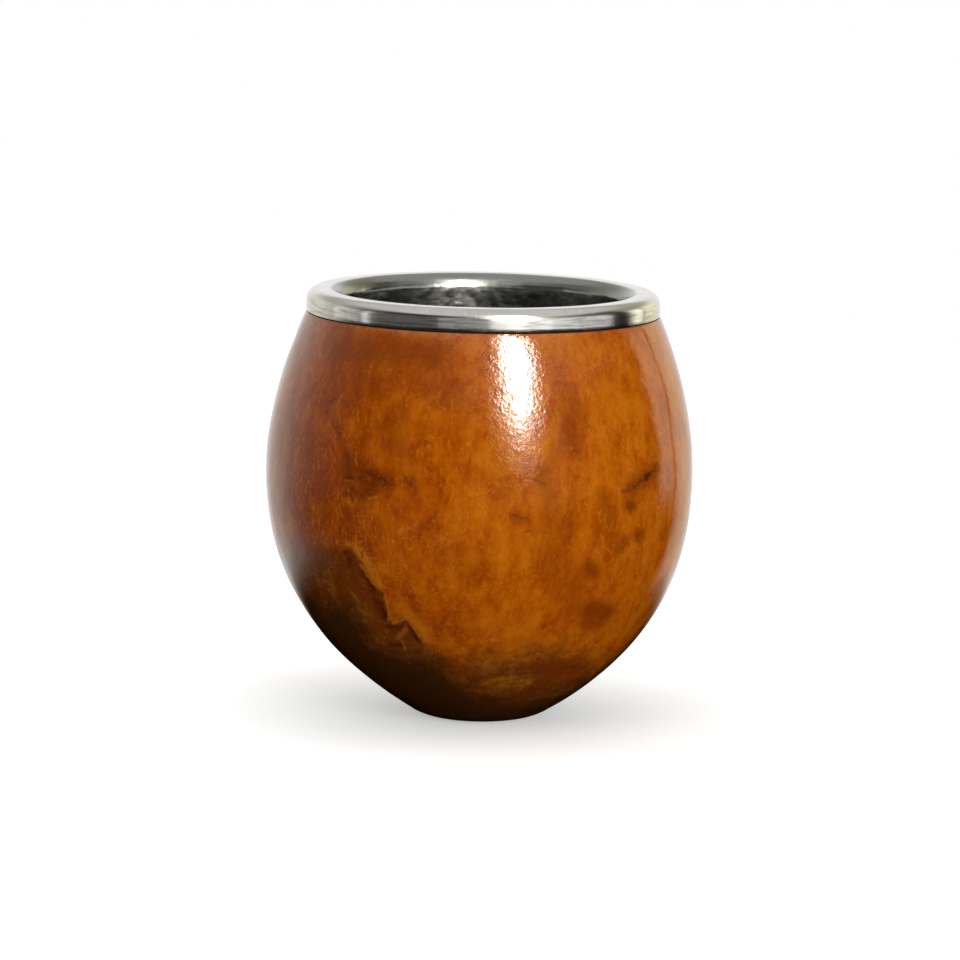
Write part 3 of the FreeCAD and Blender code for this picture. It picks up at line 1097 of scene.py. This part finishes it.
@dataclass
class Gourd:
    """The calabash: skin, sanded base, trued rim with its collar, bored mouth and hollow."""

    fit: MouthFit
    base_radius: float = 11.5
    base_round: float = 12.0
    belly_radius: float = 44.0
    belly_height: float = 51.0
    mouth_lean: float = 24.5
    belly_wall: float = 6.0
    floor_thickness: float = 7.5
    floor_radius: float = 9.5
    hollow_lean: float = 40.0
    hollow_ledge: float = 1.2
    skin_edge_round: float = 0.15
    ring_step: float = 0.82
    turns: int = 352
    scar_azimuth: float = -29.0
    finish: VarnishedSkin = field(default_factory=VarnishedSkin)

    @property
    def form(self) -> GourdForm:
        """The gourd's outer form."""
        outline = Outline(
            (self.base_radius, 0.0),
            (self.belly_radius, self.belly_height),
            (self.fit.band_radius, self.fit.skin_top),
            self.mouth_lean,
        )
        return GourdForm(outline, Growth(self.belly_height, self.fit.skin_top))

    @property
    def bore(self) -> Point:
        """Radius of the bored mouth and the height of its bottom."""
        fit = self.fit
        return (fit.bore_radius + fit.sheet + fit.glue_gap, fit.sleeve_bottom - fit.bore_run_out)

    def profile(self) -> list[Point]:
        """Closed half section, from the base over the skin and the rim to the floor inside."""
        fit = self.fit
        skin = self.form.outline.points(self.ring_step)
        start, second = skin[0], skin[1]
        tilt = math.degrees(math.atan2(second[1] - start[1], second[0] - start[0]))
        reach = self.base_round * math.tan(math.radians(tilt / 2))
        foot = bend((start[0] - reach, self.base_round), self.base_round, -90, tilt - 90, 8)
        skin = [point for point in skin if point[1] > foot[-1][1] + 0.2]

        round_it = self.skin_edge_round
        centre = (skin[-1][0] - round_it * 1.12, fit.skin_top - round_it)
        edge = bend(centre, round_it, -self.mouth_lean + 49, 90, 4)
        skin = [point for point in skin if point[1] < edge[0][1] - 0.2]
        neck = fit.band_radius - fit.sheet - fit.glue_gap
        outer_ease = fit.shoulder_radius - fit.sheet + fit.corner_ease
        inner_ease = fit.funnel_radius - fit.sheet + fit.corner_ease
        top = fit.lip_underside
        bore_radius, bore_bottom = self.bore
        shoulder = bend((neck - outer_ease, top - outer_ease), outer_ease, 0, 90, 5)
        throat = bend((bore_radius + inner_ease, top - inner_ease), inner_ease, 90, 180, 5)

        inside = Outline(
            (self.floor_radius, self.floor_thickness),
            (self.belly_radius - self.belly_wall, self.belly_height),
            (bore_radius - self.hollow_ledge, fit.sleeve_bottom),
            self.hollow_lean,
        ).points(1.3)
        inside = [point for point in reversed(inside) if point[1] < bore_bottom - 0.3]
        mouth = (inside[0][0] - 0.22, bore_bottom)
        floor = spaced([inside[-1], (0.0, self.floor_thickness)], 1.3)
        bore = spaced([throat[-1], (bore_radius, bore_bottom)], 2.5)
        base = spaced([(0.0, 0.0), foot[0]], 1.2)
        outer = chained(base, foot, skin, edge, [(neck, fit.skin_top)], shoulder)
        return chained(outer, throat, bore, [mouth], inside, floor)

    def grow(self, piece: bpy.types.Object) -> None:
        """Takes the turned piece to its grown shape: drift, oval and lobes."""
        places = corners(piece)
        radius = np.hypot(places[:, 0], places[:, 1])
        bored = (radius < self.bore[0] + TRIFLE) & (places[:, 2] > self.bore[1] - TRIFLE)
        collar = places[:, 2] > self.fit.skin_top - TRIFLE
        grown = self.form.growth.moved(places)
        still = (bored & (radius > self.bore[0] - TRIFLE)) | collar
        grown[still] = places[still]
        move_corners(piece, grown)

    def zones(self, piece: bpy.types.Object) -> dict[str, np.ndarray]:
        """Weights of the skin and of the hollow for each vertex."""
        places = corners(piece)
        line = np.array(self.form.outline.points(0.5))
        radius = np.hypot(places[:, 0], places[:, 1])
        height = places[:, 2]
        outer = np.interp(height, line[:, 1], line[:, 0])
        outside = radius > outer - WALL_MARGIN
        fade_low = np.clip((height - 0.6) / 3.0, 0, 1)
        fade_high = np.clip((self.fit.skin_top - 0.6 - height) / 3.5, 0, 1)
        skin = np.where(outside, fade_low * fade_high, 0.0)
        within = ~outside & (height > self.floor_thickness - 0.1) & (height < self.bore[1] - 0.2)
        hollow = np.where(within, np.clip((self.bore[1] - height) / 4.0, 0, 1), 0.0)
        return {"skin": skin, "hollow": hollow}

    def away(self, places: np.ndarray, line: Sequence[Point]) -> np.ndarray:
        """Distance of each place from a line drawn on the skin, in millimetres."""
        knots = [np.array(self.form.on_skin(*place)) for place in line]
        nearest = np.full(len(places), 1e9)
        for start, end in zip(knots, knots[1:]):
            run = end - start
            share = np.clip((places - start) @ run / (run @ run), 0, 1)
            apart = np.linalg.norm(places - start - share[:, None] * run, axis=1)
            nearest = np.minimum(nearest, apart)
        return nearest

    def near(self, places: np.ndarray, marks: Sequence[Stroke], reach: float) -> np.ndarray:
        """How near each place is to some strokes: 1 on them, falling smoothly to 0 at a reach."""
        nearest = np.min([self.away(places, mark.places) for mark in marks], axis=0)
        return 1 - smoothstep(nearest, 0.0, reach)

    def drawn(self, places: np.ndarray, marks: Sequence[Stroke]) -> np.ndarray:
        """Mask of several strokes at each place, the strongest of them."""
        mask = np.zeros(len(places))
        for mark in marks:
            edge = (mark.width - mark.softness, mark.width + mark.softness)
            here = 1 - smoothstep(self.away(places, mark.places), *edge)
            mask = np.maximum(mask, here * mark.strength)
        return mask

    def depth(self, places: np.ndarray, edge: Sequence[Point]) -> np.ndarray:
        """Millimetres that each place lies below an edge round the skin, negative above it."""
        limit = np.interp(azimuths(places), [a for a, _ in edge], [height for _, height in edge])
        distance = np.minimum(self.away(places, edge), np.abs(limit - places[:, 2]))
        return np.where(places[:, 2] < limit, distance, -distance)

    def carve(self, piece: bpy.types.Object) -> None:
        """Gives the skin its lumps, dimples, scar and pits, and the hollow its scraped wall."""
        zones = self.zones(piece)
        finish = self.finish
        places = corners(piece)
        skin = zones["skin"]
        scorch = self.depth(places, finish.scorch_edge)
        keep_values(piece, "scorch_depth", scorch)
        keep_values(piece, "burn_depth", self.depth(places, finish.burn_edge))
        for name, marks in (
            ("ochre", finish.ochre_marks),
            ("stain", finish.stains),
            ("blotch", finish.blotches),
            ("bruise", finish.bruises),
        ):
            keep_values(piece, name, self.drawn(places, marks))

        scar = smoothstep(np.abs(azimuths(places) - self.scar_azimuth), 17, 12) * skin
        lip = self.near(places, finish.ochre_marks[:4] + finish.pale_lines[:5], 1.7)
        sunk = self.near(places, finish.dark_lines[:8] + finish.dark_lines[18:20], 1.0)
        step = smoothstep(scorch, 0.0, 1.1) * smoothstep(scorch, 7.0, 2.0)
        reliefs = (
            ("skin_lumps", skin, 0.34, 17.0, 1),
            ("skin_dimples", skin, 0.06, 3.4, 1),
            ("scar_lip", lip * skin, 0.13, 0.0, 0),
            ("scar_step", step * scar, -0.11, 0.0, 0),
            ("scar_crumbs", smoothstep(np.abs(scorch - 3.2), 5.5, 2.5) * scar, 0.42, 1.9, 1),
            ("sunk_marks", sunk * skin, -0.14, 0.0, 0),
            ("hollow_scrapes", zones["hollow"], 0.5, 3.0, 2),
        )
        for name, weights, *_ in reliefs:
            weigh(piece, name, weights)
        for name, _, height, grain, depth in reliefs:
            emboss(piece, name, height, grain, depth)
        keep_inside(piece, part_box("gourd_shell"))

    def paint(self, piece: bpy.types.Object) -> None:
        """Gives the skin, the cut faces and the hollow their finishes."""
        for material in (
            self.finish.material(self.form),
            CutWood().material(self.fit.skin_top),
            ScrapedHollow().material(),
        ):
            piece.data.materials.append(material)
        line = np.array(self.form.outline.points(0.5))
        places = middles(piece)
        radius = np.hypot(places[:, 0], places[:, 1])
        height = places[:, 2]
        trimmed = (height > self.fit.skin_top - 0.02) | (height < 0.02)
        outer = np.interp(height, line[:, 1], line[:, 0])
        within = ~trimmed & (radius < outer - WALL_MARGIN)
        bored = within & (height > self.bore[1] - 0.1)
        for zone, wanted in ((Zone.CUT, trimmed | bored), (Zone.HOLLOW, within & ~bored)):
            give_faces(piece, zone.value, wanted)
            LOG.info("%s: %d faces of %s", piece.name, wanted.sum(), zone.name.lower())

    def build(self) -> bpy.types.Object:
        """Makes the whole gourd.

        Returns:
            The finished piece, which stands for the gourd's solid.
        """
        piece = spun("varnished_gourd", self.profile(), self.turns)
        self.grow(piece)
        self.carve(piece)
        smooth(piece, CREASE)
        self.paint(piece)
        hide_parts("gourd_shell")
        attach(piece, "root")
        return piece


@dataclass
class Ferrule:
    """The steel mouthpiece, spun from one sheet: sleeve, throat, crown, shoulder and band."""

    fit: MouthFit
    turns: int = 400
    run_step: float = 1.1
    finish: PolishedSteel = field(default_factory=PolishedSteel)

    def profile(self) -> list[Point]:
        """Closed half section of the sheet."""
        fit = self.fit
        outside = fit.bore_radius + fit.sheet
        band_inside = fit.band_radius - fit.sheet
        throat = (fit.bore_radius + fit.funnel_radius, fit.total_height - fit.funnel_radius)
        shoulder = (fit.band_radius - fit.shoulder_radius, fit.total_height - fit.shoulder_radius)
        edge = (fit.band_radius - fit.edge_round, fit.band_bottom + fit.edge_round)
        bottom = fit.sleeve_bottom
        return chained(
            spaced([(fit.bore_radius, bottom), (fit.bore_radius, throat[1])], self.run_step),
            bend(throat, fit.funnel_radius, 180, 90, 12),
            spaced([(throat[0], fit.total_height), (shoulder[0], fit.total_height)], 0.7),
            bend(shoulder, fit.shoulder_radius, 90, 0, 12),
            spaced([(fit.band_radius, shoulder[1]), (fit.band_radius, edge[1])], 0.6),
            bend(edge, fit.edge_round, 0, -90, 5),
            [(band_inside, fit.band_bottom)],
            spaced([(band_inside, fit.band_bottom), (band_inside, shoulder[1])], 1.0),
            bend(shoulder, fit.shoulder_radius - fit.sheet, 0, 90, 6),
            bend(throat, fit.funnel_radius - fit.sheet, 90, 180, 6),
            spaced([(outside, throat[1]), (outside, bottom)], 2.5),
            [(fit.bore_radius, bottom)],
        )

    def work(self, piece: bpy.types.Object) -> None:
        """Gives the sheet the slight waves of spinning, and the sleeve its tool marks."""
        fit = self.fit
        places = corners(piece)
        radius = np.hypot(places[:, 0], places[:, 1])
        height = places[:, 2]
        sleeve = (radius < fit.bore_radius + 0.4) & (height > fit.sleeve_bottom + 0.1)
        fade = np.clip((fit.total_height - fit.funnel_radius - height) / 1.5, 0, 1)
        weigh(piece, "sleeve_lumps", np.where(sleeve, fade, 0.0))
        crown = height > fit.total_height - fit.funnel_radius
        weigh(piece, "crown_waves", np.where(crown | (radius > fit.band_radius - 0.3), 1.0, 0.0))
        emboss(piece, "sleeve_lumps", 0.10, grain=5.0, depth=1)
        emboss(piece, "crown_waves", 0.035, grain=9.0, depth=0)
        keep_inside(piece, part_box("ferrule"))

    def build(self) -> bpy.types.Object:
        """Makes the whole ferrule.

        Returns:
            The finished piece, which stands for the ferrule's solid.
        """
        piece = spun("polished_ferrule", self.profile(), self.turns)
        self.work(piece)
        smooth(piece, CREASE)
        throat_height = self.fit.total_height - self.fit.funnel_radius
        material = self.finish.material(self.fit.bore_radius, throat_height)
        piece.data.materials.append(material)
        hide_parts("ferrule")
        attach(piece, "root")
        return piece


# Studio


@dataclass(frozen=True)
class Card:
    """A white card beside the camera that only the steel mirrors, from one azimuth to another."""

    start: float
    end: float
    radiance: float
    low: float = 5.0
    high: float = 256.0
    distance: float = 500.0


@dataclass
class Studio:
    """Camera, floor and light."""

    target_height: float = 49.0
    distance: float = 1100.0
    elevation: float = 8.5
    roll: float = 1.1
    lens: float = 200.0
    floor_radius: float = 650.0
    floor_shade: float = 0.35
    high: tuple[Point, ...] = (
        (-180, 0.6), (-150, 0.58), (-118, 0.54), (-102, 0.42), (-90, 0.28), (-78, 0.15),
        (-66, 0.06), (-42, 0.05), (-30, 0.1), (-18, 0.18), (-6, 0.35), (6, 0.5), (18, 0.85),
        (30, 0.85), (42, 0.7), (54, 0.48), (66, 0.3), (78, 0.2), (90, 0.13), (102, 0.1),
        (109, 0.2), (112, 0.45), (140, 0.5), (180, 0.6),
    )
    level: tuple[Point, ...] = (
        (-180, 0.95), (-138, 0.95), (-126, 0.86), (-114, 0.64), (-102, 0.38), (-90, 0.20),
        (-78, 0.08), (-66, 0.01), (-18, 0), (-6, 0.03), (6, 0.07), (18, 0.14), (42, 0.14),
        (54, 0.06), (66, 0.02), (90, 0.01), (110.5, 0.01), (112.5, 1.15), (123, 1.2),
        (126.5, 1.0), (127.8, 0.25), (129.6, 0.25), (131, 1.2), (150, 1.15), (165, 0.95),
        (180, 0.95),
    )
    low: tuple[Point, ...] = (
        (-180, 0.95), (-150, 0.95), (-138, 0.88), (-126, 0.72), (-114, 0.40), (-102, 0.16),
        (-90, 0.03), (129, 0), (132, 0.5), (138, 0.85), (150, 1.0), (180, 0.95),
    )
    above: float = 0.8
    cards: tuple[Card, ...] = (
        Card(-110, -85, 0.4), Card(-82, -77, 1.3), Card(-77, -28, 0.13), Card(-28, 5, 0.4),
        Card(5, 44, 1.4), Card(44, 89, 0.95), Card(113, 124, 0.7),
    )
    tint: Colour = (0.5, 0.49, 0.44)
    warm_tint: Colour = (0.5, 0.47, 0.35)
    warm_from: float = 100.0
    warm_to: float = 155.0

    def camera(self) -> bpy.types.Object:
        """Puts the camera where the picture was taken from."""
        data = bpy.data.cameras.new("camera")
        data.lens = self.lens
        data.sensor_width = 36.0
        made = bpy.data.objects.new("camera", data)
        bpy.context.scene.collection.objects.link(made)
        rise = math.radians(self.elevation)
        back = Vector((0.0, -math.cos(rise), math.sin(rise)))
        place = Vector((0.0, 0.0, self.target_height)) + back * self.distance
        turn = Matrix.Rotation(math.radians(90 - self.elevation), 4, "X")
        turn = turn @ Matrix.Rotation(math.radians(self.roll), 4, "Z")
        made.matrix_world = Matrix.Translation(place * MM) @ turn
        bpy.context.scene.camera = made
        return made

    def floor(self) -> bpy.types.Object:
        """Lays a pale round floor that shows white and keeps the cup's shadow, and that glossy rays
        see as a black disc of painted shade round the cup.
        """
        deselect()
        bpy.ops.mesh.primitive_circle_add(
            vertices=128, radius=self.floor_radius * MM, fill_type="NGON"
        )
        made = bpy.context.object
        made.name = "pale_floor"
        material, graph = new_material("pale_floor")
        path = graph.node("ShaderNodeLightPath").outputs
        seen = path["Is Camera Ray"]
        shade = graph.blend(seen, (self.floor_shade,) * 3, (0.8, 0.8, 0.8))
        paint = graph.out("ShaderNodeBsdfDiffuse", 0, {"Color": shade})
        away = graph.measure("LENGTH", graph.millimetres())
        strength = away.step(20.0, 150.0, 0.4, 1.0) * seen
        glow = {"Color": (1, 1, 1, 1), "Strength": strength}
        glow = graph.out("ShaderNodeEmission", 0, glow)
        pale = graph.out("ShaderNodeAddShader", 0, {0: paint, 1: glow})
        # Painted shade: to glossy rays the floor is black round the cup and turns clear by 120 mm, so
        # the varnish and steel mirror darkness near the base.
        dark = graph.out("ShaderNodeEmission", 0, {"Color": (0, 0, 0, 1), "Strength": 0.0})
        clear = graph.out("ShaderNodeBsdfTransparent", 0)
        mirrored = {0: away.step(70.0, 120.0), 1: dark, 2: clear}
        mirrored = graph.out("ShaderNodeMixShader", 0, mirrored)
        both = {0: path["Is Glossy Ray"], 1: pale, 2: mirrored}
        both = graph.out("ShaderNodeMixShader", 0, both)
        graph.node("ShaderNodeOutputMaterial", {"Surface": both})
        made.data.materials.append(material)
        return made

    def zone(self, graph: Graph, turn: Signal, stops: Sequence[Point]) -> Signal:
        """Half the radiance of a zone round the cup, a little warm, and warmer at the right.

        Args:
            graph: the world's nodes.
            turn: the azimuth as a share of a turn.
            stops: azimuths in degrees, each with its radiance.

        Returns:
            The colour.
        """
        colours = []
        for azimuth, radiance in stops:
            warm = self.warm_from < azimuth < self.warm_to
            tint = self.warm_tint if warm else self.tint
            colours.append(((azimuth + 180) / 360, tuple(radiance * share for share in tint)))
        return graph.ramp(turn, colours)

    def surroundings(self) -> None:
        """Makes the studio's walls, cards and dark gaps, by direction, and a white background."""
        world = bpy.data.worlds.new("studio")
        bpy.context.scene.world = world
        world.use_nodes = True
        graph = Graph(world.node_tree)
        x, y, z = graph.split(graph.out("ShaderNodeTexCoord", "Generated"))
        turn = graph.turn(x, y)
        rise = graph.sum("ARCSINE", z) * (180 / math.pi)

        level, low = self.zone(graph, turn, self.level), self.zone(graph, turn, self.low)
        light = graph.blend(rise.step(-6.0, -13.0), level, low)
        light = graph.blend(rise.step(-26.0, -38.0), light, (0.0, 0.0, 0.0))
        light = graph.blend(rise.step(13.0, 26.0), light, self.zone(graph, turn, self.high))
        light = graph.blend(rise.step(33.0, 48.0), light, (self.above / 2,) * 3)
        path = graph.node("ShaderNodeLightPath").outputs
        behind = abs(turn - 0.5).step(0.42, 0.46) * abs(rise).step(26.0, 13.0)
        mirrored = graph.sum("MAXIMUM", path["Is Glossy Ray"], path["Is Transmission Ray"])
        seen = graph.sum("MAXIMUM", path["Is Camera Ray"], mirrored * behind)
        light = graph.blend(seen, light, (0.5, 0.5, 0.5))
        background = graph.out("ShaderNodeBackground", 0, {"Color": light, "Strength": 2.0})
        graph.node("ShaderNodeOutputWorld", {"Surface": background})

    def lamp(
        self,
        name: str,
        place: tuple[float, float, float],
        aim: tuple[float, float, float],
        size: Point,
        radiance: float,
    ) -> bpy.types.Object:
        """Hangs a rectangular lamp.

        Args:
            name: name of the lamp.
            place: its middle, in millimetres.
            aim: what it faces, in millimetres.
            size: its width and height, in millimetres.
            radiance: how bright it looks, where white paper in plain light is 1.

        Returns:
            The lamp.
        """
        data = bpy.data.lights.new(name, "AREA")
        data.shape = "RECTANGLE"
        data.size, data.size_y = size[0] * MM, size[1] * MM
        data.energy = math.pi * data.size * data.size_y * radiance
        made = bpy.data.objects.new(name, data)
        bpy.context.scene.collection.objects.link(made)
        way = (Vector(aim) - Vector(place)).to_track_quat("-Z", "Y").to_matrix().to_4x4()
        made.matrix_world = Matrix.Translation(Vector(place) * MM) @ way
        made.visible_camera = False
        return made

    def light(self) -> None:
        """Hangs the tall softbox that the varnish mirrors, and the two wide lamps for the cup."""
        for name, place, size, radiance, colour in (
            ("softbox", (141, -350, 322), (134, 366), 17.0, (1, 1, 1)),
            ("softbox_edge", (143, -352, 316), (178, 430), 6.0, (1, 0.88, 0.74)),
            ("softbox_glow", (145, -354, 325), (248, 560), 1.6, (1, 0.8, 0.55)),
        ):
            made = self.lamp(name, place, (place[0], 0, place[2]), size, radiance)
            made.data.shape = "ELLIPSE"
            made.data.color = colour
            made.visible_diffuse = False
        for name, place, size, radiance in (
            ("left_lamp", (-600, -660, 330), (600, 600), 1.8),
            ("right_lamp", (470, -790, 170), (560, 420), 8.7),
        ):
            self.lamp(name, place, (0, 0, 45), size, radiance).visible_glossy = False

    def set_cards(self, steel: bpy.types.Object) -> None:
        """Stands the cards round the steel, which alone gets their light."""
        group = bpy.data.collections.new("steel_alone")
        group.objects.link(steel)
        for i, card in enumerate(self.cards):
            middle = math.radians((card.start + card.end) / 2)
            width = 2 * card.distance * math.tan(math.radians(card.end - card.start) / 2)
            height = (card.low + card.high) / 2
            place = (card.distance * math.sin(middle), -card.distance * math.cos(middle), height)
            size = (width, card.high - card.low)
            made = self.lamp(f"card_{i + 1}", place, (0, 0, height), size, card.radiance)
            made.light_linking.receiver_collection = group

    def build(self) -> None:
        """Sets up the whole studio."""
        self.camera()
        self.floor()
        self.surroundings()
        self.light()
        bpy.context.scene.view_settings.view_transform = "Standard"


def main() -> None:
    """Builds the studio and the cup."""
    logging.basicConfig(level=logging.INFO, format="%(name)s: %(message)s")
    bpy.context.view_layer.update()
    low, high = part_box("ferrule")
    fit = MouthFit(
        total_height=round(high.z / MM, 3),
        sleeve_bottom=round(low.z / MM, 3),
        band_radius=round(high.x / MM, 2),
    )
    LOG.info("height %.1f, band radius %.2f", fit.total_height, fit.band_radius)
    make_effects()
    studio = Studio()
    studio.build()
    gourd, ferrule = Gourd(fit).build(), Ferrule(fit).build()
    studio.set_cards(ferrule)
    for piece in (gourd, ferrule):
        piece.data.calc_loop_triangles()
        LOG.info("%s: %d triangles", piece.name, len(piece.data.loop_triangles))


if __name__ == "__main__":
    main()
